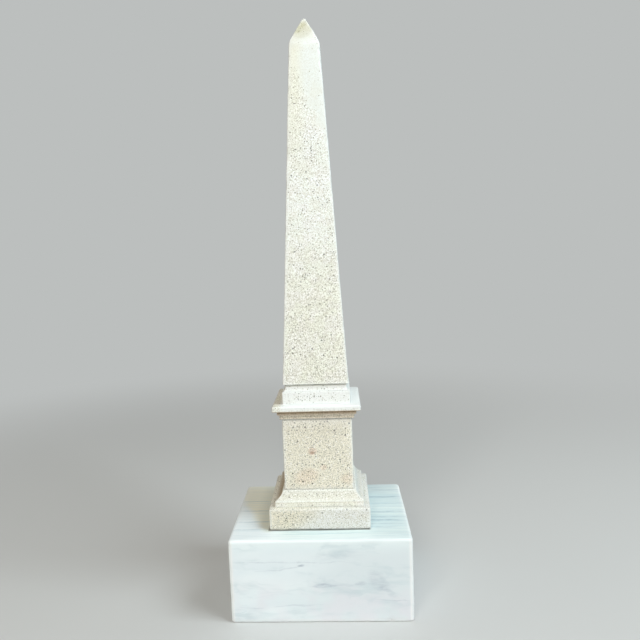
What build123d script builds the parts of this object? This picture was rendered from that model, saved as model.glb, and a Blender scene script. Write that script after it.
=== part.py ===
from build123d import *
import os

# Table-top obelisk of cast stone, standing on a block of white marble.
#
# Every course of the obelisk is square on plan, and all of them are centred on one upright axis.
# From the ground up they are the marble block, plinth, base moulding, die, bed moulding, cornice,
# step, neck and shaft. The origin is the centre of the marble block's underside, with +Z up and the
# block's long side along X. Sizes are in millimetres.

# Marble block: wider than it is deep, with edges softened by hand.
block_width = 154.2
block_depth = 126.0
block_height = 72.2
block_edge = 3.0
block_foot_edge = 2.0

# Plinth: the plain slab under the pedestal.
plinth_width = 87.5
plinth_height = 18.4
plinth_edge = 1.5

# Base moulding: an upright band, then a shallow hollow that draws in and leaves a ledge round the die.
base_band_width = 77.4
base_band_height = 4.8
base_hollow_rise = 7.7
base_hollow_depth = 0.9
base_ledge = 1.6
base_arris = 0.8

# Die: the plain body of the pedestal.
die_width = 60.7
die_height = 63.2
die_arris = 1.0

# Bed moulding: a thin band, a small hollow that opens outwards, and an upright face.
bed_band_projection = 2.0
bed_band_height = 2.0
bed_hollow_projection = 1.9
bed_hollow_rise = 2.4
bed_hollow_depth = 0.5
bed_face_height = 3.2
bed_arris = 0.6

# Cornice: the flat slab that oversails the bed moulding.
cornice_overhang = 3.9
cornice_height = 4.9
cornice_edge = 1.6

# Step: the plain block that stands on the cornice.
step_width = 59.2
step_height = 11.0
step_edge = 0.9

# Neck: set in from the step, with a small hollow sweeping up to its upright face.
neck_width = 53.4
neck_height = 6.0
neck_flare_projection = 1.5
neck_flare_rise = 3.6
neck_flare_depth = 0.45
neck_arris = 0.8

# Shaft: one tapering piece that oversails the neck, with its pointed cap on the same block. The shoulder
# is where the faces of shaft and cap would meet if the turn between them weren't rounded.
shaft_overhang = 1.9
shaft_height = 288.9
shaft_top_width = 26.2
shaft_arris = 0.9
shoulder_rounding = 12.0
cap_height = 22.6
cap_tip_width = 2.0

# The underside of each course, found by adding up the courses below it.
plinth_z = block_height
base_z = plinth_z + plinth_height
die_z = base_z + base_band_height + base_hollow_rise
bed_z = die_z + die_height
cornice_z = bed_z + bed_band_height + bed_hollow_rise + bed_face_height
step_z = cornice_z + cornice_height
neck_z = step_z + step_height
shaft_z = neck_z + neck_height
shoulder_z = shaft_z + shaft_height
tip_z = shoulder_z + cap_height

# Half widths where one course meets the next, and where the mouldings turn.
base_half = base_band_width / 2
base_top_half = die_width / 2 + base_ledge
bed_band_half = die_width / 2 + bed_band_projection
bed_face_half = bed_band_half + bed_hollow_projection
cornice_half = bed_face_half + cornice_overhang
neck_half = neck_width / 2
neck_foot_half = neck_half + neck_flare_projection
shaft_half = neck_half + shaft_overhang


def slab(width, height, underside, edge, foot_rounded):
    """A square slab with rounded arrises, either all of them or all but those of its underside."""
    with BuildPart() as piece:
        with BuildSketch(Plane.XY.offset(underside)):
            Rectangle(width, width)
        extrude(amount=height)
        sharp_edges = [] if foot_rounded else piece.faces().sort_by(Axis.Z)[0].edges()
        fillet(piece.edges() - sharp_edges, radius=edge)
    return piece


def moulded_course(half_profile, half_width, arris):
    """A square course with one profile on all four sides, mitred at the corners.

    The half profile starts and ends on the axis. Mirrored, it is the full section, and the course is
    what two bars of that section share where they cross at right angles.
    """
    with BuildPart() as piece:
        for across, mode in ((Plane.XZ, Mode.ADD), (Plane.YZ, Mode.INTERSECT)):
            with BuildSketch(across):
                with BuildLine():
                    add(half_profile)
                    mirror(about=Plane.YZ)
                make_face()
            extrude(amount=half_width, both=True, mode=mode)
        corners = piece.edges().filter_by(is_corner)
        fillet(corners, radius=arris)
    return piece


def is_corner(edge):
    """Whether an edge runs up a corner of a square course: both its ends then lie on a diagonal."""
    return all(abs(abs(end.X) - abs(end.Y)) < 1e-4 for end in (edge @ 0, edge @ 1, edge @ 0.5))


def save(piece, name):
    """Label a finished piece and write it to a file of its own."""
    piece.part.label = name
    export_step(piece.part, f"parts/{name}.step")


os.makedirs("parts", exist_ok=True)

with BuildPart() as marble_block:
    with BuildSketch():
        Rectangle(block_width, block_depth)
    extrude(amount=block_height)
    foot_edges = marble_block.faces().sort_by(Axis.Z)[0].edges()
    fillet(marble_block.edges() - foot_edges, radius=block_edge)
    foot_edges = marble_block.faces().sort_by(Axis.Z)[0].edges()
    fillet(foot_edges, radius=block_foot_edge)
save(marble_block, "marble_block")

plinth = slab(plinth_width, plinth_height, plinth_z, plinth_edge, foot_rounded=True)
save(plinth, "plinth")

with BuildLine() as base_profile:
    base_band = Polyline((0, base_z), (base_half, base_z), (base_half, base_z + base_band_height))
    base_hollow = SagittaArc(base_band @ 1, (base_top_half, die_z), base_hollow_depth)
    Line(base_hollow @ 1, (0, die_z))
base_moulding = moulded_course(base_profile.line, base_half, base_arris)
save(base_moulding, "base_moulding")

with BuildPart() as die:
    with BuildSketch(Plane.XY.offset(die_z)):
        Rectangle(die_width, die_width)
    extrude(amount=die_height)
    fillet(die.edges().filter_by(Axis.Z), radius=die_arris)
save(die, "die")

with BuildLine() as bed_profile:
    bed_band = Polyline((0, bed_z), (bed_band_half, bed_z), (bed_band_half, bed_z + bed_band_height))
    bed_hollow_end = (bed_face_half, bed_z + bed_band_height + bed_hollow_rise)
    bed_hollow = SagittaArc(bed_band @ 1, bed_hollow_end, bed_hollow_depth)
    Polyline(bed_hollow @ 1, (bed_face_half, cornice_z), (0, cornice_z))
bed_moulding = moulded_course(bed_profile.line, bed_face_half, bed_arris)
save(bed_moulding, "bed_moulding")

cornice = slab(2 * cornice_half, cornice_height, cornice_z, cornice_edge, foot_rounded=True)
save(cornice, "cornice")

step = slab(step_width, step_height, step_z, step_edge, foot_rounded=False)
save(step, "step")

with BuildLine() as neck_profile:
    neck_foot = Line((0, neck_z), (neck_foot_half, neck_z))
    neck_flare = SagittaArc(neck_foot @ 1, (neck_half, neck_z + neck_flare_rise), neck_flare_depth)
    Polyline(neck_flare @ 1, (neck_half, shaft_z), (0, shaft_z))
neck = moulded_course(neck_profile.line, neck_foot_half, neck_arris)
save(neck, "neck")

# The shaft's faces are flat up to the shoulder, where they turn softly into those of the cap.
with BuildLine() as shaft_profile:
    Polyline(
        (0, shaft_z),
        (shaft_half, shaft_z),
        (shaft_top_width / 2, shoulder_z),
        (cap_tip_width / 2, tip_z),
        (0, tip_z),
    )
    shoulder = shaft_profile.vertices().group_by(Axis.Y)[1]
    fillet(shoulder, radius=shoulder_rounding)
shaft = moulded_course(shaft_profile.line, shaft_half, shaft_arris)
save(shaft, "shaft")
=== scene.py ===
import math
from collections import namedtuple
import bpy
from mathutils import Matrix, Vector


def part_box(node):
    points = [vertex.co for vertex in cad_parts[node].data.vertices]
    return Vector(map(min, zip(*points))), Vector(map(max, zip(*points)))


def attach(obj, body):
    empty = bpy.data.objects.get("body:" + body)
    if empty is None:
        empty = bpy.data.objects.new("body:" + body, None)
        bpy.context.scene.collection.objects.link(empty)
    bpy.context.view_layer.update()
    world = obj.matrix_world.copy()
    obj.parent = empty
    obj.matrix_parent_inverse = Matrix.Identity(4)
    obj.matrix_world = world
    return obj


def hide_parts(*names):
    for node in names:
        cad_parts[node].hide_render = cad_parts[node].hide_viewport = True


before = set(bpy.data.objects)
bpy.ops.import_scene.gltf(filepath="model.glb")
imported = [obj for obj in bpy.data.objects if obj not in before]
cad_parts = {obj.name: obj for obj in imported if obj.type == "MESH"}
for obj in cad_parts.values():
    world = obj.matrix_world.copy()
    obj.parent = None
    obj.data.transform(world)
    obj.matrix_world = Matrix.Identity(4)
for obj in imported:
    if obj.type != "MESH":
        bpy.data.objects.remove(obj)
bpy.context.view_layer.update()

from types import SimpleNamespace

import bpy
import numpy as np
from mathutils import Matrix, Vector

# A table-top obelisk of cream cast stone on a block of white marble. Each course is a surface worked
# out with numpy: an outline carried round a square whose corners are rounded. Lengths are in metres
# in the shapes, and in millimetres in the materials.
MM = 0.001
TINY = 1e-12

# Details of the courses that their boxes don't give.
BLOCK_ARRIS = 3.0 * MM
BLOCK_FOOT_ROUNDING = 1.8 * MM
BLOCK_HEAD_ROUNDING = 2.6 * MM
BASE_BAND_HEIGHT = 4.8 * MM
BASE_LEDGE = 1.6 * MM
BASE_HOLLOW_DEPTH = 0.9 * MM
BED_BAND_PROJECTION = 2.0 * MM
BED_BAND_HEIGHT = 2.0 * MM
BED_HOLLOW_RISE = 2.4 * MM
BED_HOLLOW_DEPTH = 0.5 * MM
NECK_FLARE_PROJECTION = 1.5 * MM
NECK_FLARE_RISE = 3.6 * MM
NECK_FLARE_DEPTH = 0.45 * MM
SHAFT_TOP_HALF = 13.1 * MM
SHOULDER_ROUNDING = 3.5 * MM
CAP_HEIGHT = 22.6 * MM
CAP_SWELL = 0.2 * MM
CAP_TIP_HALF = 1.0 * MM
CAP_TIP_ROUNDING = 0.7 * MM

# Wear: how deep each kind goes, how large its features are, and where it sets in.
Wear = namedtuple("Wear", "slow fine rubbed chipped")
Dent = namedtuple("Dent", "place reach depth")
STONE_WEAR = Wear(slow=0.10 * MM, fine=0.02 * MM, rubbed=0.25 * MM, chipped=0.45 * MM)
MARBLE_WEAR = Wear(slow=0.15 * MM, fine=0.01 * MM, rubbed=0.2 * MM, chipped=0.2 * MM)
SLOW_WAVE = 17 * MM
FINE_WAVE = 2.6 * MM
RUBBED_STRETCH = 7 * MM
CHIP_SIZE = 4.5 * MM
# How far the painted shade reaches from a crease and from the joint under a course.
CREASE_REACH = 0.8 * MM
FOOT_JOINT_SHADE_REACH = 0.7 * MM
RESTING_HEIGHT = 1 * MM
STOUT_HALF = 12 * MM
LEAST_WEAR = 0.2
RUBBED_MEAN, RUBBED_SWING = 0.55, 0.45
CHIPPED_FROM, CHIPPED_FULL = 0.35, 0.75
STEEP_FROM, STEEP_FULL = 0.2, 0.6
LATTICE_SIZE = 32

# How the rings of a course are divided.
POINTS_PER_ARC = 6
POINTS_PER_ARRIS = 6
LEAST_PER_SIDE = 4
CROWDING = 0.65
LEAST_ROUNDING = 0.15

# A corner of a half section. The rounding is how far from the corner its curve starts on both legs.
# The sag bows the leg that follows the corner into a hollow.
Corner = namedtuple("Corner", "half height rounding sag", defaults=(0.0, 0.0))


def bottom_and_top(node):
    """The lowest and the highest level of a part of the frame."""
    low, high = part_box(node)
    return low[2], high[2]


def half_width(node):
    """Half the width of a square course."""
    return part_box(node)[1][1]


# ---------------------------------------------------------------------------------------------
# Noise and outlines


def lattice_noise(points, cell, seed):
    """Random values on a cubic lattice of the given cell size, blended by 6f^5 - 15f^4 + 10f^3."""
    table = np.random.default_rng(seed).uniform(-1.0, 1.0, (LATTICE_SIZE,) * 3)
    scaled = points / cell
    low = np.floor(scaled).astype(int)
    part = scaled - low
    part = part ** 3 * (part * (6 * part - 15) + 10)
    total = np.zeros(points.shape[:-1])
    for corner in np.ndindex(2, 2, 2):
        weight = np.prod(np.where(corner, part, 1 - part), axis=-1)
        index = (low + corner) % LATTICE_SIZE
        total += weight * table[index[..., 0], index[..., 1], index[..., 2]]
    return total


def smooth_step(low, high, value):
    """3t^2 - 2t^3 of how far a value has come from low to high, held to 0 and 1 outside them."""
    t = np.clip((value - low) / (high - low), 0.0, 1.0)
    return t * t * (3 - 2 * t)


def leg(start, end, sag, spacing):
    """Points from start towards end: the chord plus 4t(1 - t) times the sag, to the chord's left."""
    chord = end - start
    length = float(np.linalg.norm(chord))
    count = max(1, round(length / spacing))
    t = np.arange(count)[:, None] / count
    left = np.array((-chord[1], chord[0])) / length
    return start + t * chord + 4 * t * (1 - t) * sag * left


def arc(start, corner, end):
    """A quadratic curve from start to end that leaves and arrives along the two legs of the corner."""
    t = np.arange(POINTS_PER_ARC)[:, None] / POINTS_PER_ARC
    return (1 - t) ** 2 * start + 2 * t * (1 - t) * corner + t ** 2 * end


def outline(corners, spacing):
    """The half section of a course as points of (half width, height), from axis to axis."""
    spots = [np.array((corner.half, corner.height)) for corner in corners]
    rows = []
    leave = spots[0]
    for i in range(1, len(corners)):
        before, spot = spots[i - 1], spots[i]
        back = (before - spot) / np.linalg.norm(before - spot)
        arrive = spot + back * corners[i].rounding
        rows.append(leg(leave, arrive, corners[i - 1].sag, spacing))
        if i < len(corners) - 1:
            ahead = (spots[i + 1] - spot) / np.linalg.norm(spots[i + 1] - spot)
            leave = spot + ahead * corners[i].rounding
            rows.append(arc(arrive, spot, leave))
    rows.append(spots[-1][None, :])
    return np.concatenate(rows)


def near_corners(points, corners, reach, outward):
    """How close each outline point is to a corner that turns outwards, or inwards: e^(-distance / reach)."""
    nearness = np.zeros(len(points))
    for before, spot, after in zip(corners, corners[1:], corners[2:]):
        arriving, leaving = np.subtract(spot[:2], before[:2]), np.subtract(after[:2], spot[:2])
        turn = arriving[0] * leaving[1] - arriving[1] * leaving[0]
        if (turn > 0) == outward:
            distance = np.linalg.norm(points - np.array(spot[:2]), axis=1)
            nearness = np.maximum(nearness, np.exp(-distance / reach))
    return nearness


def square_ring(per_side):
    """Points round a unit square, with the outward directions of its rounded corners.

    A point of a square with half width w and corner radius r is then (w - r) times the first array
    plus r times the second. Points crowd towards the corners by mixing t with sin(t pi / 2).
    """
    t = np.linspace(-1, 1, per_side + 2)[1:-1]
    along = (1 - CROWDING) * t + CROWDING * np.sin(t * math.pi / 2)
    turn = np.linspace(-math.pi / 4, math.pi / 4, POINTS_PER_ARRIS)
    square, outward = [], []
    for quarter in range(4):
        angle = quarter * math.pi / 2
        ahead = np.array((math.cos(angle), math.sin(angle)))
        left = np.array((-ahead[1], ahead[0]))
        square.append(ahead + along[:, None] * left)
        outward.append(np.repeat(ahead[None, :], per_side, axis=0))
        square.append(np.repeat((ahead + left)[None, :], POINTS_PER_ARRIS, axis=0))
        corner_angle = angle + math.pi / 4 + turn
        outward.append(np.stack((np.cos(corner_angle), np.sin(corner_angle)), axis=1))
    return np.concatenate(square), np.concatenate(outward)


# ---------------------------------------------------------------------------------------------
# Courses


def grid_normals(grid):
    """Unit normals of a closed grid of points: the cross product of its two central differences."""
    around = np.roll(grid, -1, axis=1) - np.roll(grid, 1, axis=1)
    upward = np.gradient(grid, axis=0)
    normal = np.cross(around, upward)
    return normal / np.maximum(np.linalg.norm(normal, axis=-1, keepdims=True), TINY)


def ring_mesh(name, rows, layers):
    """A closed mesh from rows of rings: quads between rings, and a fan to one point at each end.

    Each layer is a value for every point of the rows, kept on the mesh under its own name.
    """
    count, around = rows.shape[0] - 2, rows.shape[1]
    vertices = np.concatenate((rows[:1, 0], rows[1:-1].reshape(-1, 3), rows[-1:, 0]))
    first = 1 + np.arange(count * around).reshape(count, around)
    beside = np.roll(first, -1, axis=1)
    quads = np.stack((first[:-1], beside[:-1], beside[1:], first[1:]), axis=-1).reshape(-1, 4)
    last = len(vertices) - 1
    low_fan = np.stack((np.zeros(around, int), beside[0], first[0]), axis=-1)
    high_fan = np.stack((np.full(around, last), first[-1], beside[-1]), axis=-1)
    corners = np.concatenate((quads.ravel(), low_fan.ravel(), high_fan.ravel()))
    sizes = np.concatenate((np.full(len(quads), 4), np.full(2 * around, 3)))
    mesh = bpy.data.meshes.new(name)
    mesh.vertices.add(len(vertices))
    mesh.vertices.foreach_set("co", vertices.ravel())
    mesh.loops.add(len(corners))
    mesh.loops.foreach_set("vertex_index", corners)
    mesh.polygons.add(len(sizes))
    mesh.polygons.foreach_set("loop_start", np.concatenate(((0,), np.cumsum(sizes)[:-1])))
    mesh.polygons.foreach_set("use_smooth", np.ones(len(sizes), bool))
    mesh.update(calc_edges=True)
    mesh.validate()
    for label, values in layers.items():
        flat = np.concatenate((values[:1, 0], values[1:-1].ravel(), values[-1:, 0]))
        mesh.attributes.new(label, "FLOAT", "POINT").data.foreach_set("value", flat)
    piece = bpy.data.objects.new(name, mesh)
    bpy.context.scene.collection.objects.link(piece)
    return piece


def swept_grid(section, arris, spacing, half_x):
    """A half section carried round a square, and how far each point is from an upright arris.

    A ring is a square of the section's half width with its corners rounded by the arris. A ring that
    is set back from the faces beside it has its rounding smaller by the setback. half_x is the half
    length along X where the course is not square: it stretches the straight stretches along X.
    """
    half, height = section[:, 0], section[:, 1]
    widest = half.max()
    past_widest = np.arange(len(half)) > np.argmax(half)
    side = np.where(past_widest, np.maximum.accumulate(half[::-1])[::-1], np.maximum.accumulate(half))
    radius = np.clip(arris - (side - half), LEAST_ROUNDING * arris, arris)
    radius = np.minimum(radius, half)
    square, outward = square_ring(max(LEAST_PER_SIDE, round(2 * widest / spacing)))
    flat = (half - radius)[:, None, None] * square + radius[:, None, None] * outward
    if half_x is not None:
        flat[..., 0] += ((half_x - arris) / (widest - arris) - 1) * (half - radius)[:, None] * square[:, 0]
    tall = np.broadcast_to(height[:, None, None], flat.shape[:2] + (1,))
    side_gap = (half - radius)[:, None] * (1 - np.abs(square).min(axis=1))[None, :]
    return np.concatenate((flat, tall), axis=-1), side_gap


def worn(grid, section, edge, wear, seed, dents):
    """A grid moved inwards along its normals by slow and fine waves, rubbed arrises, chips and dents.

    The foot keeps its place, so that a course rests on the one below, and a slender ring wears less. A
    dent sinks by its depth times e^(-(distance / reach)^2).
    """
    half, height = section[:, 0], section[:, 1]
    rise = wear.slow * (lattice_noise(grid, SLOW_WAVE, seed) - 1)
    rise = rise + wear.fine * (lattice_noise(grid, FINE_WAVE, seed + 1) - 1)
    rubbing = RUBBED_MEAN + RUBBED_SWING * lattice_noise(grid, RUBBED_STRETCH, seed + 2)
    chipping = smooth_step(CHIPPED_FROM, CHIPPED_FULL, lattice_noise(grid, CHIP_SIZE, seed + 3))
    rise = rise - wear.rubbed * edge * rubbing
    rise = rise - wear.chipped * edge * chipping
    for dent in dents:
        gap = np.linalg.norm(grid - np.array(dent.place), axis=-1)
        rise = rise - dent.depth * np.exp(-(gap / dent.reach) ** 2)
    resting = smooth_step(0, RESTING_HEIGHT, height - height.min())[:, None]
    stoutness = np.clip(half / STOUT_HALF, LEAST_WEAR, 1.0)[:, None]
    return grid + grid_normals(grid) * (rise * resting * stoutness)[..., None]


def course(node, corners, arris, wear, seed, spacing=1.0 * MM, half_x=None,
           upright_reach=1.0 * MM, level_reach=1.5 * MM, foot_joint_shade=0.0, dents=()):
    """One course of the stack, from the corners of its half section.

    arris is the rounding of its upright corners. The two reaches are how far wear goes from the
    upright and from the level arrises. foot_joint_shade is how dark the joint under the course is
    painted: a dark joint with a painted contact shadow. The mesh carries how near each point is to
    an arris and to a crease, and how far its face looks along X.
    """
    section = outline(corners, spacing)
    grid, side_gap = swept_grid(section, arris, spacing, half_x)
    run = np.gradient(section, axis=0)
    steepness = np.abs(run[:, 1]) / np.maximum(np.linalg.norm(run, axis=1), TINY)
    upright = np.exp(-side_gap / upright_reach) * smooth_step(STEEP_FROM, STEEP_FULL, steepness)[:, None]
    edge = np.maximum(upright, near_corners(section, corners, level_reach, True)[:, None])
    # The crease layer darkens inward corners and the joint at the foot: painted shade, with some grime.
    above_foot = section[:, 1] - section[:, 1].min()
    foot = foot_joint_shade * np.exp(-above_foot / FOOT_JOINT_SHADE_REACH)
    crease = np.maximum(near_corners(section, corners, CREASE_REACH, False), foot)
    layers = {"arris": edge, "crease": np.broadcast_to(crease[:, None], edge.shape),
              "rightward": grid_normals(grid)[..., 0]}
    piece = ring_mesh(node + "_surface", worn(grid, section, edge, wear, seed, dents), layers)
    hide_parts(node)
    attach(piece, "root")
    return piece


def plain_slab(node, foot_rounding, head_rounding, arris, seed, foot_joint_shade=0.0):
    """A course of cast stone with plain upright faces."""
    bottom, top = bottom_and_top(node)
    half = half_width(node)
    corners = [Corner(0, bottom), Corner(half, bottom, rounding=foot_rounding),
               Corner(half, top, rounding=head_rounding), Corner(0, top)]
    return course(node, corners, arris, STONE_WEAR, seed, foot_joint_shade=foot_joint_shade)


def marble_block():
    """The block under the obelisk, longer than it is deep, with a chip at its front foot."""
    low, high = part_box("marble_block")
    corners = [Corner(0, low[2]), Corner(high[1], low[2], rounding=BLOCK_FOOT_ROUNDING),
               Corner(high[1], high[2], rounding=BLOCK_HEAD_ROUNDING), Corner(0, high[2])]
    chip = Dent(place=(57 * MM, low[1], 0.8 * MM), reach=2.4 * MM, depth=1.4 * MM)
    return course("marble_block", corners, BLOCK_ARRIS, MARBLE_WEAR, seed=11, spacing=1.5 * MM,
                  half_x=high[0], upright_reach=0.6 * MM, level_reach=2.2 * MM, foot_joint_shade=0.5, dents=[chip])


def base_moulding():
    """An upright band, then a shallow hollow that draws in to a ledge round the die."""
    bottom, top = bottom_and_top("base_moulding")
    half = half_width("base_moulding")
    corners = [Corner(0, bottom), Corner(half, bottom, rounding=0.2 * MM),
               Corner(half, bottom + BASE_BAND_HEIGHT, rounding=0.5 * MM, sag=BASE_HOLLOW_DEPTH),
               Corner(half_width("die") + BASE_LEDGE, top, rounding=0.5 * MM), Corner(0, top)]
    return course("base_moulding", corners, arris=0.8 * MM, wear=STONE_WEAR, seed=31, spacing=0.8 * MM,
                  foot_joint_shade=0.3)


def bed_moulding():
    """A thin band, a small hollow that spreads out, and an upright face under the cornice."""
    bottom, top = bottom_and_top("bed_moulding")
    half = half_width("bed_moulding")
    band_half = half_width("die") + BED_BAND_PROJECTION
    band_top = bottom + BED_BAND_HEIGHT
    corners = [Corner(0, bottom), Corner(band_half, bottom, rounding=0.4 * MM),
               Corner(band_half, band_top, rounding=0.2 * MM, sag=BED_HOLLOW_DEPTH),
               Corner(half, band_top + BED_HOLLOW_RISE, rounding=0.4 * MM),
               Corner(half, top, rounding=0.2 * MM), Corner(0, top)]
    return course("bed_moulding", corners, arris=0.6 * MM, wear=STONE_WEAR, seed=51, spacing=0.6 * MM,
                  foot_joint_shade=1.0)


def neck():
    """A small hollow that draws in from the step, then an upright face."""
    bottom, top = bottom_and_top("neck")
    foot_half = half_width("neck")
    half = foot_half - NECK_FLARE_PROJECTION
    corners = [Corner(0, bottom), Corner(foot_half, bottom, rounding=0.2 * MM, sag=NECK_FLARE_DEPTH),
               Corner(half, bottom + NECK_FLARE_RISE, rounding=0.2 * MM),
               Corner(half, top, rounding=0.2 * MM), Corner(0, top)]
    return course("neck", corners, arris=0.8 * MM, wear=STONE_WEAR, seed=81, spacing=0.7 * MM,
                  foot_joint_shade=0.3)


def shaft():
    """The tapering shaft with its rounded shoulder and its pointed cap."""
    bottom, tip = bottom_and_top("shaft")
    corners = [Corner(0, bottom), Corner(half_width("shaft"), bottom, rounding=0.6 * MM),
               Corner(SHAFT_TOP_HALF, tip - CAP_HEIGHT, rounding=SHOULDER_ROUNDING, sag=-CAP_SWELL),
               Corner(CAP_TIP_HALF, tip, rounding=CAP_TIP_ROUNDING), Corner(0, tip)]
    return course("shaft", corners, arris=1.1 * MM, wear=STONE_WEAR, seed=91, spacing=1.1 * MM)


# ---------------------------------------------------------------------------------------------
# Shader writing

# A grain's edge, in cells from its radius, and how much of a smear is at full strength.
GRAIN_EDGE_FROM, GRAIN_EDGE_TO = -0.12, 0.05
SMEAR_CORE = 0.05


class Amount:
    """A number that varies over a surface. Sums written with it become Math nodes."""

    def __init__(self, finish, socket):
        self.finish = finish
        self.socket = socket

    def combine(self, operation, *terms):
        sockets = {i: term for i, term in enumerate(terms)}
        node = self.finish.node("ShaderNodeMath", {"operation": operation}, sockets)
        return Amount(self.finish, node.outputs[0])

    def __add__(self, other):
        return self.combine("ADD", self, other)

    def __radd__(self, other):
        return self.combine("ADD", other, self)

    def __sub__(self, other):
        return self.combine("SUBTRACT", self, other)

    def __rsub__(self, other):
        return self.combine("SUBTRACT", other, self)

    def __mul__(self, other):
        return self.combine("MULTIPLY", self, other)

    def __rmul__(self, other):
        return self.combine("MULTIPLY", other, self)

    def __lt__(self, other):
        return self.combine("LESS_THAN", self, other)

    def __abs__(self):
        return self.combine("ABSOLUTE", self)

    def most(self, other):
        return self.combine("MAXIMUM", self, other)


def srgb(red, green, blue):
    """A colour given as it looks on a screen, 0 to 255, as the linear values that a shader takes."""
    shares = (np.array((red, green, blue)) / 255.0 + 0.055) / 1.055
    return tuple(float(share) ** 2.4 for share in shares) + (1.0,)


class Finish:
    """A material and the means to write its nodes."""

    def __init__(self, name):
        self.material = bpy.data.materials.new(name)
        self.material.use_nodes = True
        self.tree = self.material.node_tree
        self.tree.nodes.clear()

    def node(self, kind, settings=None, sockets=None):
        """Add a node: first its settings, then the values or links of its sockets."""
        node = self.tree.nodes.new(kind)
        for setting, value in (settings or {}).items():
            setattr(node, setting, value)
        for key, value in (sockets or {}).items():
            value = value.socket if isinstance(value, Amount) else value
            if isinstance(value, bpy.types.NodeSocket):
                self.tree.links.new(value, node.inputs[key])
            else:
                node.inputs[key].default_value = value
        return node

    def amount(self, socket):
        return Amount(self, socket)

    def millimetres(self):
        """The point on the object, in millimetres."""
        where = self.node("ShaderNodeTexCoord").outputs["Object"]
        return self.scaled(where, (1 / MM, 1 / MM, 1 / MM))

    def parts(self, vector):
        """The three coordinates of a vector, each as an amount."""
        split = self.node("ShaderNodeSeparateXYZ", None, {0: vector})
        return [self.amount(socket) for socket in split.outputs]

    def scaled(self, vector, scale):
        sockets = {0: vector, 1: scale}
        return self.node("ShaderNodeVectorMath", {"operation": "MULTIPLY"}, sockets).outputs[0]

    def moved(self, vector, offset):
        sockets = {0: vector, 1: offset}
        return self.node("ShaderNodeVectorMath", {"operation": "ADD"}, sockets).outputs[0]

    def mix(self, factor, first, second, blend="MIX"):
        settings = {"data_type": "RGBA", "blend_type": blend, "clamp_factor": True}
        return self.node("ShaderNodeMix", settings, {0: factor, 6: first, 7: second}).outputs[2]

    def toned(self, colour, rows, blend="MIX"):
        """A colour with tones laid over it in turn. Each row is a mask and a colour for srgb."""
        for mask, tone in rows:
            colour = self.mix(mask, colour, srgb(*tone), blend)
        return colour

    def noise(self, vector, size, detail, roughness=0.5):
        """Noise between 0 and 1 whose features are about `size` across."""
        sockets = {"Vector": vector, "Scale": 1.0 / size, "Detail": detail, "Roughness": roughness}
        return self.amount(self.node("ShaderNodeTexNoise", None, sockets).outputs[0])

    def swirl(self, vector, scale, detail):
        """A vector of three noises between 0 and 1, which bends a pattern when it is added to a place."""
        sockets = {"Vector": vector, "Scale": scale, "Detail": detail}
        return self.node("ShaderNodeTexNoise", None, sockets).outputs["Color"]

    def between(self, value, low, high, from_value=0.0, to_value=1.0):
        """A value carried from the range low to high to another range, with soft ends."""
        sockets = {0: value, 1: low, 2: high, 3: from_value, 4: to_value}
        settings = {"interpolation_type": "SMOOTHSTEP", "clamp": True}
        return self.amount(self.node("ShaderNodeMapRange", settings, sockets).outputs[0])

    def span(self, value, low, high, soft=0.5):
        """1 where a value lies from low to high, with ends that are soft over the given length."""
        return self.between(value, low, low + soft) * self.between(value, high, high - soft)

    def layer(self, label):
        """A value that the mesh carries, such as how near a point is to an arris."""
        return self.amount(self.node("ShaderNodeAttribute", {"attribute_name": label}).outputs["Fac"])

    def grains(self, vector, cell, share, smallest, largest, offset):
        """A mask of grains: in a share of the cells of a Voronoi pattern, a blot of random radius."""
        sockets = {"Vector": self.moved(vector, offset), "Scale": 1.0 / cell}
        cells = self.node("ShaderNodeTexVoronoi", {"feature": "F1"}, sockets)
        parts = self.node("ShaderNodeSeparateColor", None, {0: cells.outputs["Color"]})
        chosen = self.amount(parts.outputs[0]) < share
        radius = (self.amount(parts.outputs[1]) * (largest - smallest) + smallest) * (1 / cell)
        beyond = self.amount(cells.outputs["Distance"]) - radius
        blot = self.between(beyond, GRAIN_EDGE_FROM, GRAIN_EDGE_TO, 1.0, 0.0)
        return blot * chosen

    def smear(self, across, upward, centre, reach, lean=0.0):
        """A soft blot: 1 at its centre, 0 at the edge of an ellipse that leans by an angle."""
        right, up = across - centre[0], upward - centre[1]
        along = (right * math.cos(lean) + up * math.sin(lean)) * (1 / reach[0])
        beside = (up * math.cos(lean) - right * math.sin(lean)) * (1 / reach[1])
        return self.between(along * along + beside * beside, SMEAR_CORE, 1.0, 1.0, 0.0)

    def finish(self, colour, roughness, specular, height, bump_distance, bump_strength):
        """The surface itself, with its bump."""
        bump = self.node("ShaderNodeBump", None, {"Height": height, "Distance": bump_distance,
                                                  "Strength": bump_strength})
        sockets = {"Base Color": colour, "Roughness": roughness, "Specular IOR Level": specular,
                   "Normal": bump.outputs[0]}
        surface = self.node("ShaderNodeBsdfPrincipled", None, sockets)
        self.node("ShaderNodeOutputMaterial", None, {"Surface": surface.outputs[0]})
        return self.material


# ---------------------------------------------------------------------------------------------
# Cast stone


def course_levels():
    """The foot and the head of the courses that the stone's zones are measured from, in millimetres."""
    levels = SimpleNamespace()
    for node in ("plinth", "die", "cornice", "step", "shaft"):
        bottom, top = bottom_and_top(node)
        setattr(levels, node + "_foot", bottom / MM)
        setattr(levels, node + "_head", top / MM)
    return levels


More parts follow.
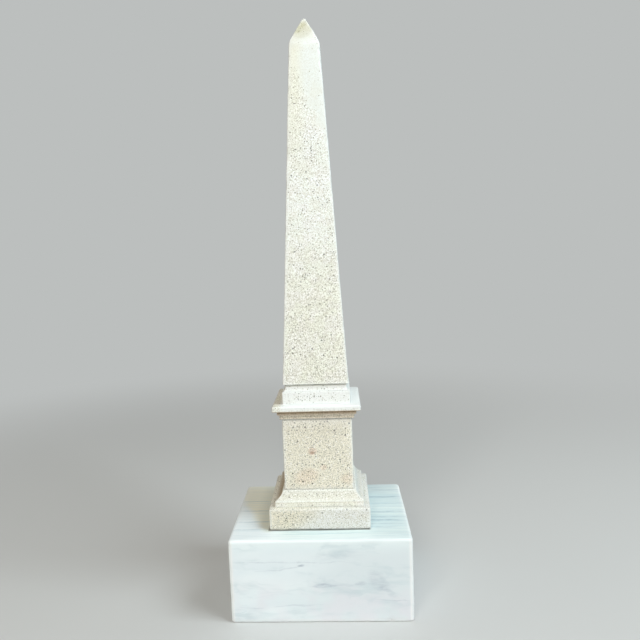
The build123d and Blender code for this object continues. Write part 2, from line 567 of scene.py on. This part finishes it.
class CastStone(Finish):
    """Cream cast stone: a pale ground crowded with khaki and grey grains, and now and then a black one."""

    def __init__(self):
        super().__init__("cast_stone")
        self.place = self.millimetres()
        self.x, self.y, self.z = self.parts(self.place)
        self.loose = self.moved(self.place, self.scaled(self.swirl(self.place, 1.1, 2.0), (1.1, 1.1, 1.1)))
        self.arris = self.layer("arris")
        self.clouds = self.noise(self.place, 14.0, 3.0)
        self.patches = self.noise(self.moved(self.place, (7.0, 3.0, 60.0)), 9.0, 2.0)
        self.sand = self.noise(self.loose, 0.9, 1.0)
        self.level = course_levels()
        self.zone = SimpleNamespace()
        self.zone_pedestal()
        self.zone_cornice()
        self.zone_shaft()

    def zone_pedestal(self):
        """Where the plinth, the base, the die and the bed moulding look different, as masks."""
        zone, level, z = self.zone, self.level, self.z
        zone.plinth = self.between(z, level.plinth_head - 0.5, level.plinth_head + 0.5, 1.0, 0.0)
        slant = self.x - z + self.clouds * 18.0 + level.plinth_head
        zone.plinth_left = zone.plinth * self.between(slant, -6.0, 20.0, 1.0, 0.0)
        zone.plinth_right = zone.plinth * (1.0 - zone.plinth_left)
        zone.base = self.span(z, level.plinth_head + 5.0, level.die_foot - 0.5)
        zone.base_foot = self.span(z, level.plinth_head + 0.5, level.plinth_head + 8.0, 2.0)
        zone.die = self.span(z, level.die_foot, level.die_head)
        zone.die_top = zone.die * self.between(z, level.die_head - 12.0, level.die_head - 2.0)
        zone.bed = self.span(z, level.die_head, level.cornice_foot + 1.0, 1.0)

    def zone_cornice(self):
        """Where the courses over the die are painted pale for the light that washes them out, all but their
        shaded left side, and where the step keeps its grit.
        """
        zone, level, z = self.zone, self.level, self.z
        ragged_z = z + self.clouds * 3.0
        above_foot = self.between(ragged_z, level.cornice_foot + 0.5, level.cornice_foot + 5.0)
        under_shaft = self.between(z, level.shaft_foot - 0.5, level.shaft_foot, 1.0, 0.0)
        zone.cornice = above_foot * under_shaft
        # Painted light: the cornice, step and neck paler and with fewer grains, except on their shaded left
        # side.
        zone.rinsed = zone.cornice * self.between(self.x, -34.0, -27.0)
        on_slab = self.between(ragged_z, level.cornice_head + 2.0, level.cornice_head + 4.5, 1.0, 0.0)
        zone.washed = zone.rinsed * on_slab
        step_face = self.span(z, level.step_foot + 2.5, level.step_head - 3.0, 2.0)
        zone.gritty = zone.rinsed * step_face * self.span(self.x, -19.0, 16.0, 5.0)

    def zone_shaft(self):
        """Where the shaft is paler towards its top, partly painted light, bald of grains near the cap, and
        dirty on the cap.
        """
        zone, level, x, z = self.zone, self.level, self.x, self.z
        tip = level.shaft_head
        # Paler and cooler, with fewer grains, towards the top: partly painted light.
        zone.upper = self.between(z, level.shaft_foot + 60.0, level.shaft_foot + 150.0)
        zone.upper_left = self.between(x, 2.0, -10.0) * self.between(z, tip - 150.0, tip - 70.0)
        zone.bald = self.between(z + x * 2.4 + self.patches * 40.0, tip - 60.0, tip - 38.0)
        zone.cap = self.between(z - x * 0.4, tip - 27.0, tip - 16.0)
        dirt = self.smear(x, z, (-3.2, tip - 9.2), (10.0, 5.5), 0.8)
        dirt = dirt.most(self.smear(x, z, (3.5, tip - 10.5), (5.5, 5.0)) * 0.5)
        zone.dirt = dirt.most(self.smear(x, z, (-2.5, tip - 15.0), (9.0, 5.0)) * 0.4)

    def ground(self):
        """The pale ground, toned zone by zone, with sand in it. The die's top is painted lighter against the
        shade under the bed moulding, and the base hollow painted darker, as shade.
        """
        zone = self.zone
        tint = self.between(self.noise(self.moved(self.place, (40.0, 0.0, 9.0)), 11.0, 2.0), 0.38, 0.62)
        low = self.mix(tint, srgb(251, 252, 247), srgb(249, 252, 241))
        high = self.mix(tint, srgb(250, 254, 254), srgb(248, 254, 250))
        speckled = 0.78 - zone.bald * 0.35 - zone.die_top * 0.3 - zone.base_foot * 0.2
        speckled = speckled - zone.upper * 0.16 - zone.plinth_right * 0.1
        return self.toned(self.mix(zone.upper, low, high), (
            (zone.bald * 0.8, (234, 241, 238)),
            (zone.upper_left * 0.7, (240, 241, 224)),
            (zone.cap * 0.9, (219, 220, 210)),
            (zone.die * 0.9, (250, 246, 230)),
            # Painted light: the die's top paler, against the shade under the bed moulding.
            (zone.die_top * 0.9, (254, 252, 243)),
            # Painted shade: the base hollow darker.
            (zone.base * 0.8, (224, 225, 216)),
            (zone.plinth * 0.8, (233, 235, 235)),
            (zone.plinth_left * 0.9, (236, 230, 210)),
            (self.between(self.clouds, 0.45, 0.70) * 0.2, (232, 227, 208)),
            (self.between(self.sand, 0.42, 0.60) * speckled, (196, 194, 178)),
        ))

    def crowd(self):
        """How thick the grains lie: in patches, and fewer on the arrises, where the stone is bare, and where
        the cornice is painted pale for the light.
        """
        zone, level = self.zone, self.level
        slab = self.span(self.z, level.cornice_foot, level.cornice_head)
        bare = (self.arris * 0.8).most(zone.washed * 0.95).most(zone.rinsed * 0.2).most(zone.bald * 0.9)
        bare = bare.most(zone.plinth_right * 0.6).most(zone.base_foot * 0.7).most(slab * 0.6)
        bare = bare.most(zone.rinsed * (1.0 - zone.gritty) * 0.62)
        patchy = self.between(self.patches, 0.34, 0.60, 0.7, 1.0)
        return (patchy * (1.0 - bare)).most(zone.dirt * 0.9)

    def sort_grains(self):
        """Masks of the four sorts of grain. The brown ones are larger on the die and the plinth's left."""
        zone, crowd = self.zone, self.crowd()
        white_share = 0.45 - zone.bald * 0.45 - zone.plinth_right * 0.22 + zone.gritty * 0.2
        dense = zone.die.most(zone.plinth_left)
        largest_brown = dense * 0.19 + 0.56
        brown_share = 0.58 * crowd - zone.upper * 0.20 + dense * 0.2 + zone.gritty * 0.45
        black_share = 0.36 * crowd - zone.upper * 0.08 + zone.gritty * 0.85
        return SimpleNamespace(
            white=self.grains(self.loose, 1.6, white_share, 0.30, 0.62, (3.0, 7.0, 1.0)),
            khaki=self.grains(self.loose, 1.4, 0.66 * crowd, 0.30, 0.54, (11.0, 2.0, 5.0)),
            brown=self.grains(self.loose, 1.9, brown_share, 0.32, largest_brown, (23.0, 13.0, 8.0)),
            black=self.grains(self.loose, 4.2, black_share, 0.46, 0.84, (31.0, 17.0, 4.0)))

    def grained(self, colour, grain):
        """The grains laid into the ground, with a paler skin on the arrises, partly wear and partly a painted
        highlight, and painted light on the pale cornice.
        """
        return self.toned(colour, (
            (self.zone.rinsed * 0.7, (238, 242, 243)),
            (grain.white * 0.9, (254, 254, 250)),
            (grain.khaki * 0.85, (150, 147, 128)),
            (grain.brown * 0.97, (86, 81, 68)),
            (grain.black * 0.98, (24, 22, 20)),
            # Paler arrises, partly wear and partly a painted highlight, and the cornice slab painted pale for
            # the light.
            ((self.arris * 0.45).most(self.zone.washed * 0.6), (237, 242, 241)),
        ))

    def grimed_and_shaded(self, colour):
        """Grime and painted shade in creases and joints, and painted shade with some dirt under the cornice
        and the shaft.
        """
        zone, level, z = self.zone, self.level, self.z
        grime_and_shade = self.layer("crease") * self.between(self.noise(self.place, 6.0, 3.0), 0.3, 0.7, 0.6, 1.0)
        grime_and_shade = grime_and_shade * (1.0 - zone.rinsed) * (1.0 - zone.bed * 0.7)
        bed_dirt_and_shade = zone.bed * self.between(z, level.die_head + 2.2, level.cornice_foot - 1.0, 0.1, 1.0)
        under_shaft = self.span(z, level.shaft_foot - 2.4, level.shaft_foot - 0.1, 1.0)
        # Painted shade: creases and joints darkened, the bed moulding browner and darker towards the cornice,
        # and a band on the neck under the shaft's overhang.
        return self.toned(colour, (
            (grime_and_shade * 0.85, (112, 100, 84)),
            (zone.bed * 0.6, (250, 234, 216)),
            (bed_dirt_and_shade, (206, 190, 174)),
            (under_shaft * 0.6, (186, 180, 168)),
        ), "MULTIPLY")

    def painted_side_shade(self, colour):
        """Painted shade: the right faces cooler and darker, warm shade on the left faces, the base's left
        hollow, the cornice top's left and under the base's lip.
        """
        level, x, z = self.level, self.x, self.z
        rightward = self.layer("rightward")
        # Painted shade: the right faces cooler and darker.
        colour = self.mix(self.between(rightward, 0.5, 0.9) * 0.5, colour, srgb(218, 228, 228))
        over_cornice = self.between(z, level.cornice_foot, level.shaft_foot + 40.0, 0.4, 0.1)
        leftward = self.between(rightward, -0.4, -0.85) * over_cornice
        in_hollow = self.between(rightward, -0.2, -0.5) * self.between(x, -44.0, -34.0)
        in_hollow = in_hollow * self.span(z, level.plinth_head + 0.5, level.die_foot - 0.5)
        left_shade = self.zone.cornice * self.between(x, -29.0, -33.0) * self.between(self.y, -38.0, -33.0)
        under_lip = self.span(z, level.plinth_head + 3.2, level.plinth_head + 4.2)
        # Painted warm shade on the left faces, in the base's left hollow, on the left of the cornice top, and
        # under the base's lip.
        return self.toned(colour, (
            (leftward, (222, 196, 162)),
            (in_hollow * 0.7, (196, 176, 152)),
            (left_shade * 0.3, (222, 206, 180)),
            (under_lip * 0.7, (222, 216, 202)),
        ), "MULTIPLY")

    def stained(self, colour):
        """Dirt on the cap, and on the die a rusty ring with its spot and three faint stains."""
        x, z, sand, on_die = self.x, self.z, self.sand, self.zone.die
        die_foot = self.level.die_foot
        ring = self.smear(x, z, (-5.0, die_foot + 34.0), (5.0, 4.4)) * on_die
        spot = self.smear(x, z, (-5.2, die_foot + 32.6), (2.8, 1.9)) * on_die
        stain = self.smear(x, z, (4.2, die_foot + 19.6), (4.4, 3.4))
        stain = stain.most(self.smear(x, z, (-11.0, die_foot + 11.5), (14.0, 9.0), 0.3))
        stain = stain.most(self.smear(x, z, (25.0, die_foot + 9.0), (8.0, 6.0)) * 0.8)
        return self.toned(colour, (
            (self.zone.dirt * self.between(sand, 0.3, 0.6, 0.5, 1.0), (222, 220, 198)),
            (ring * 0.7, (240, 222, 216)),
            (spot * 0.7, (196, 172, 158)),
            (stain * on_die * self.between(sand, 0.3, 0.6, 0.2, 0.8), (247, 234, 226)),
        ), "MULTIPLY")

    def build(self):
        """The finish with its colour, its pits and its matt surface."""
        grain = self.sort_grains()
        colour = self.grained(self.ground(), grain)
        colour = self.stained(self.painted_side_shade(self.grimed_and_shaded(colour)))
        pits = (grain.black * 0.9).most(grain.brown * 0.6)
        height = self.sand * 0.4 + grain.white * 0.3 - pits
        roughness = self.between(self.sand, 0.3, 0.7, 0.78, 0.92)
        return self.finish(colour, roughness, specular=0.3, height=height,
                           bump_distance=0.12 * MM, bump_strength=0.6)


# ---------------------------------------------------------------------------------------------
# White marble

# Marks in the marble, in millimetres. On the front: centre, half length and half width, lean and strength.
FRONT_MARKS = (
    ((3.0, 32.0), (12.0, 2.4), 0.0, 0.6),
    ((10.0, 32.5), (24.0, 1.6), 0.03, 0.25),
    ((33.0, 34.5), (6.5, 2.8), 0.1, 0.45),
    ((47.0, 35.5), (14.0, 8.0), -0.95, 0.35),
    ((55.0, 27.0), (11.0, 3.4), -0.5, 0.3),
    ((-16.0, 49.5), (4.0, 1.1), 0.1, 0.9),
    ((-33.0, 47.5), (26.0, 0.7), 0.09, 0.45),
    ((-26.0, 52.5), (60.0, 0.7), 0.0, 0.4),
    ((14.0, 58.5), (26.0, 5.0), 0.05, 0.15),
    ((60.0, 19.0), (18.0, 0.7), -0.1, 0.4),
    ((-20.0, 15.0), (26.0, 1.0), 0.03, 0.3),
    ((-58.0, 14.0), (14.0, 0.9), 0.0, 0.3),
)
# On the top: centre as (x, y), half length and half width, strength.
TOP_VEINS = (
    ((62.0, 46.0), (26.0, 1.7), 0.5),
    ((60.0, 28.0), (26.0, 2.55), 0.9),
    ((66.0, 12.0), (26.0, 1.53), 0.5),
    ((58.0, -7.0), (24.0, 2.04), 0.7),
    ((62.0, -18.0), (26.0, 1.7), 0.8),
    ((56.0, -25.5), (22.0, 2.21), 0.9),
    ((58.0, -32.0), (26.0, 1.53), 0.6),
    ((50.0, -39.0), (20.0, 1.53), 0.6),
    ((-60.0, -1.0), (26.0, 1.87), 0.7),
    ((-60.0, -25.0), (24.0, 1.87), 0.7),
    ((-62.0, -41.0), (22.0, 1.7), 0.6),
    ((-64.0, 22.0), (24.0, 1.7), 0.5),
    ((10.0, -50.0), (46.0, 1.53), 0.35),
)


class WhiteMarble(Finish):
    """White marble, with bedding that runs along its length and stands almost upright."""

    def __init__(self):
        super().__init__("white_marble")
        self.place = self.millimetres()
        self.x, self.y, self.z = self.parts(self.place)
        waver = self.swirl(self.scaled(self.place, (0.02, 0.05, 0.05)), 1.0, 3.0)
        self.bent = self.moved(self.place, self.scaled(waver, (0.0, 9.0, 9.0)))
        bedding = self.scaled(self.bent, (0.010, 0.33, 0.055))
        self.broad = self.noise(bedding, 3.0, 2.0)
        self.fine = self.noise(bedding, 0.8, 3.0, 0.6)
        self.head = bottom_and_top("marble_block")[1] / MM
        self.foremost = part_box("marble_block")[0][1] / MM
        self.on_top = self.between(self.z, self.head - 1.6, self.head - 0.4)
        self.left_end = self.between(self.x, -20.0, -48.0)

    def front(self, shade):
        """The upright faces: greyer to the right, faintly lavender low down, and paler just under the top
        edge, a painted highlight.
        """
        greyer = self.between(self.x + self.broad * 60.0 - self.z * 0.4, -40.0, 60.0)
        low = self.between(self.z, 15.0, 45.0, 1.0, 0.0)
        lavender = self.between(self.noise(self.place, 30.0, 2.0), 0.40, 0.60) * low
        return self.toned(self.mix(shade, srgb(242, 251, 254), srgb(232, 243, 248)), (
            (greyer * 0.75, (221, 231, 235)),
            (lavender * 0.6, (232, 232, 239)),
            # Painted highlight: paler just under the top edge.
            (self.between(self.z, self.head - 16.0, self.head - 1.0) * 0.6, (236, 250, 252)),
        ))

    def top(self, shade):
        """The top: painted lighter along the front and at the left end, with painted warm shade beside the
        obelisk on the left.
        """
        x, y = self.x, self.y
        # Painted warm shade beside the plinth on the left, where the obelisk's shadow falls.
        beside_plinth = self.between(x, -40.0, -46.0) * self.between(y, -50.0, -42.0)
        left_shade = beside_plinth * self.between(x + y * 0.39 + self.broad * 6.0, -68.0, -58.0)
        left_shade_tone = self.mix(self.between(x, -48.0, -62.0), srgb(221, 222, 202), srgb(246, 245, 224))
        # Painted light: paler along the front and at the left end.
        colour = self.toned(self.mix(shade, srgb(227, 242, 242), srgb(216, 234, 236)), (
            (self.between(y, self.foremost + 14.0, self.foremost + 3.0) * 0.6, (232, 246, 248)),
            (self.left_end, (242, 252, 255)),
        ))
        return self.mix(left_shade * 0.8, colour, left_shade_tone)

    def bedded(self, colour):
        """Fine streaks along the bedding, and on the top crisper lines, both fainter at the left end."""
        streak = self.between(self.fine, 0.48, 0.78) * (self.on_top * 0.1 + 0.55)
        streak = streak * (1.0 - self.left_end * self.on_top * 0.6)
        lines = self.noise(self.scaled(self.bent, (0.014, 0.55, 0.2)), 1.0, 2.0)
        lines = self.between(lines, 0.50, 0.62) * self.on_top * (0.5 - self.left_end * 0.3)
        return self.toned(colour, ((streak, (190, 210, 217)), (lines, (194, 219, 226))))

    def veined(self, colour):
        """The larger marks of the front and of the top, rippled and torn by noise."""
        ripple = self.parts(self.swirl(self.scaled(self.place, (0.05, 0.16, 0.16)), 1.0, 4.0))
        across = self.x + ripple[0] * 6.0 - 3.0
        upward = self.z + ripple[1] * 6.0 - 3.0
        inward = self.y + ripple[2] * 5.0 - 2.5
        torn = self.noise(self.scaled(self.place, (0.25, 1.0, 1.0)), 1.6, 3.0, 0.6)
        torn = self.between(torn, 0.3, 0.65, 0.25, 1.0)
        marks = 0.0
        for centre, reach, lean, strength in FRONT_MARKS:
            marks = self.smear(across, upward, centre, reach, lean) * strength + marks
        veins = 0.0
        for centre, reach, strength in TOP_VEINS:
            veins = self.smear(across, inward, centre, reach) * strength + veins
        return self.toned(colour, (
            (marks * torn * (1.0 - self.on_top) * 0.8, (166, 180, 194)),
            (veins * torn * self.on_top * 0.7, (150, 178, 190)),
        ))

    def grimed_and_shaded(self, colour):
        """Painted contact shadow in the joint round the plinth, fainter on its right; arrises paler, partly
        wear and partly a painted highlight; and dark creases at the foot, painted shade.
        """
        plinth_half = half_width("plinth") / MM
        outwards = abs(self.x).most(abs(self.y))
        # Painted contact shadow round the plinth's foot.
        contact_shadow = self.between(outwards, plinth_half + 0.2, plinth_half + 1.5, 1.0, 0.0) * self.on_top
        contact_shadow = contact_shadow * self.between(self.x, plinth_half - 2.0, plinth_half, 0.7, 0.0)
        colour = self.mix(contact_shadow, colour, srgb(112, 100, 84), "MULTIPLY")
        # Paler arrises: partly wear, partly a painted highlight.
        colour = self.mix(self.layer("arris") * 0.5, colour, srgb(253, 254, 252))
        # Painted shade in the creases at the foot.
        return self.mix(self.layer("crease") * 0.5, colour, srgb(150, 130, 110), "MULTIPLY")

    def build(self):
        """The finish with its colour, its bedding and its honed surface."""
        shade = self.between(self.broad, 0.35, 0.7)
        colour = self.mix(self.on_top, self.front(shade), self.top(shade))
        colour = self.grimed_and_shaded(self.veined(self.bedded(colour)))
        roughness = self.between(self.broad, 0.3, 0.7, 0.42, 0.55)
        return self.finish(colour, roughness, specular=0.4, height=self.fine,
                           bump_distance=0.05 * MM, bump_strength=0.3)


# ---------------------------------------------------------------------------------------------
# The pieces


def paint(piece, material):
    """Give a piece its material."""
    piece.data.materials.append(material)


marble_piece = marble_block()
stone_pieces = [
    plain_slab("plinth", foot_rounding=1.5 * MM, head_rounding=1.5 * MM, arris=1.5 * MM, seed=21,
               foot_joint_shade=1.0),
    base_moulding(),
    plain_slab("die", foot_rounding=0.2 * MM, head_rounding=0.2 * MM, arris=1.0 * MM, seed=41,
               foot_joint_shade=0.6),
    bed_moulding(),
    plain_slab("cornice", foot_rounding=1.0 * MM, head_rounding=1.8 * MM, arris=1.6 * MM, seed=61),
    plain_slab("step", foot_rounding=0.2 * MM, head_rounding=0.9 * MM, arris=0.9 * MM, seed=71),
    neck(),
    shaft(),
]
stone_material = CastStone().build()
for stone_piece in stone_pieces:
    paint(stone_piece, stone_material)
paint(marble_piece, WhiteMarble().build())


# ---------------------------------------------------------------------------------------------
# Floor, light and camera

# The floor lies just under the block, and a cove rises from its rim.
FLOOR_Z = -0.05 * MM
FLOOR_HOLE = 0.5 * MM
FLOOR_RADIUS = 1.2
COVE_RADIUS = 1.5
COVE_WALL = 3.0
COVE_TOP = 6.0
COVE_STEPS = 24
SHEET_SEGMENTS = 96
EVEN_TONE_FROM = 0.4
WORLD_COLOUR = (1.0, 0.96, 0.90, 1.0)
WORLD_STRENGTH = 0.20

# The lamps look at the obelisk's middle.
OBELISK_MIDDLE = Vector((0.0, 0.0, 0.28))

# The camera looks slightly down from just right of the middle, with a small turn about its own axis.
# Its angles are in radians.
CAMERA_PLACE = Vector((21.7 * MM, -564.2 * MM, 307.3 * MM))
CAMERA_TURN = -0.0536
CAMERA_DIP = -0.1034
CAMERA_ROLL = -0.0377
LENS = 35.62
SHIFT_X = 0.0234
CLIP_START = 0.01


def backdrop_finish(name, colour, far_colour, near, far):
    """A matt floor that the camera sees pass into an even, pale tone between two distances from the axis."""
    pale = Finish(name)
    across = pale.scaled(pale.node("ShaderNodeTexCoord").outputs["Object"], (1.0, 1.0, 0.0))
    distance = pale.amount(pale.node("ShaderNodeVectorMath", {"operation": "LENGTH"}, {0: across}).outputs[1])
    rays = pale.node("ShaderNodeLightPath").outputs
    seen = pale.amount(rays["Is Camera Ray"]).most(rays["Is Glossy Ray"]).most(rays["Is Transmission Ray"])
    matt = pale.node("ShaderNodeBsdfPrincipled", None, {"Base Color": colour, "Roughness": 0.9})
    glow = pale.node("ShaderNodeEmission", None, {"Color": far_colour, "Strength": 1.0})
    sockets = {0: seen * pale.between(distance, near, far), 1: matt.outputs[0], 2: glow.outputs[0]}
    surface = pale.node("ShaderNodeMixShader", None, sockets)
    pale.node("ShaderNodeOutputMaterial", None, {"Surface": surface.outputs[0]})
    return pale.material


def turned_sheet(name, outline_points):
    """A surface of revolution about the Z axis: each outline point carried round a circle."""
    angle = np.arange(SHEET_SEGMENTS) * 2 * math.pi / SHEET_SEGMENTS
    points = np.array(outline_points)
    x = points[:, :1] * np.cos(angle)
    y = points[:, :1] * np.sin(angle)
    z = np.repeat(points[:, 1:], SHEET_SEGMENTS, axis=1)
    vertices = np.stack((x, y, z), axis=-1).reshape(-1, 3)
    first = np.arange(len(points) * SHEET_SEGMENTS).reshape(len(points), SHEET_SEGMENTS)
    beside = np.roll(first, -1, axis=1)
    quads = np.stack((first[:-1], beside[:-1], beside[1:], first[1:]), axis=-1).reshape(-1, 4)
    mesh = bpy.data.meshes.new(name)
    mesh.from_pydata(vertices.tolist(), [], quads.tolist())
    mesh.polygons.foreach_set("use_smooth", np.ones(len(quads), bool))
    sheet = bpy.data.objects.new(name, mesh)
    bpy.context.scene.collection.objects.link(sheet)
    return sheet


def cove_outline():
    """The floor's rim, a quarter circle that rises from the floor to the wall, and the wall's top."""
    turn = np.linspace(0, math.pi / 2, COVE_STEPS)
    outwards = COVE_WALL - COVE_RADIUS + COVE_RADIUS * np.sin(turn)
    upwards = FLOOR_Z + COVE_RADIUS - COVE_RADIUS * np.cos(turn)
    rise = np.stack((outwards, upwards), axis=1)
    return np.concatenate(([(FLOOR_RADIUS, FLOOR_Z)], rise, [(COVE_WALL, COVE_TOP)]))


def lamp(name, power, colour, size, from_front, height_angle, distance):
    """A soft lamp, size wide and high, that looks at the obelisk's middle.

    It hangs from_front degrees to the right of the front and height_angle degrees above level.
    """
    across, up = math.radians(from_front), math.radians(height_angle)
    direction = Vector((math.sin(across) * math.cos(up), -math.cos(across) * math.cos(up), math.sin(up)))
    light = bpy.data.lights.new(name, "AREA")
    light.shape = "RECTANGLE"
    light.energy = power
    light.color = colour
    light.size, light.size_y = size
    holder = bpy.data.objects.new(name, light)
    holder.location = OBELISK_MIDDLE + direction * distance
    holder.rotation_euler = direction.to_track_quat("Z", "Y").to_euler()
    bpy.context.scene.collection.objects.link(holder)
    return holder


floor_finish = backdrop_finish("pale_floor", srgb(206, 208, 207), srgb(188, 191, 190),
                               near=EVEN_TONE_FROM, far=FLOOR_RADIUS)
floor = turned_sheet("floor", [(FLOOR_HOLE, FLOOR_Z), (FLOOR_RADIUS, FLOOR_Z)])
cove = turned_sheet("cove", cove_outline())
for sheet in (floor, cove):
    sheet.data.materials.append(floor_finish)
cove.visible_diffuse = False
cove.visible_shadow = False
cove.visible_glossy = False

world = bpy.data.worlds.new("studio")
bpy.context.scene.world = world
world.use_nodes = True
world.node_tree.nodes["Background"].inputs["Color"].default_value = WORLD_COLOUR
world.node_tree.nodes["Background"].inputs["Strength"].default_value = WORLD_STRENGTH

lamp("window", 20.5, (0.87, 0.955, 1.0), (0.9, 0.8), from_front=64.0, height_angle=45.0, distance=1.7)
lamp("room", 24.0, (1.0, 0.965, 0.905), (1.2, 0.8), from_front=-10.0, height_angle=32.0, distance=2.0)
lamp("table_glow", 1.8, (1.0, 0.86, 0.73), (1.2, 0.8), from_front=-85.0, height_angle=15.0, distance=1.8)
back_fill = lamp("back_fill", 5.0, (1.0, 0.98, 0.95), (1.2, 0.5), from_front=152.0, height_angle=3.0,
                 distance=2.0)
back_fill.visible_camera = False

ahead = Vector((math.sin(CAMERA_TURN) * math.cos(CAMERA_DIP), math.cos(CAMERA_TURN) * math.cos(CAMERA_DIP),
                math.sin(CAMERA_DIP)))
camera_data = bpy.data.cameras.new("camera")
camera_data.lens = LENS
camera_data.shift_x = SHIFT_X
camera_data.clip_start = CLIP_START
camera = bpy.data.objects.new("camera", camera_data)
level_view = ahead.to_track_quat("-Z", "Y").to_matrix()
rolled_view = level_view @ Matrix.Rotation(CAMERA_ROLL, 3, "Z")
camera.matrix_world = Matrix.Translation(CAMERA_PLACE) @ rolled_view.to_4x4()
bpy.context.scene.collection.objects.link(camera)
bpy.context.scene.camera = camera
bpy.context.scene.view_settings.view_transform = "Standard"
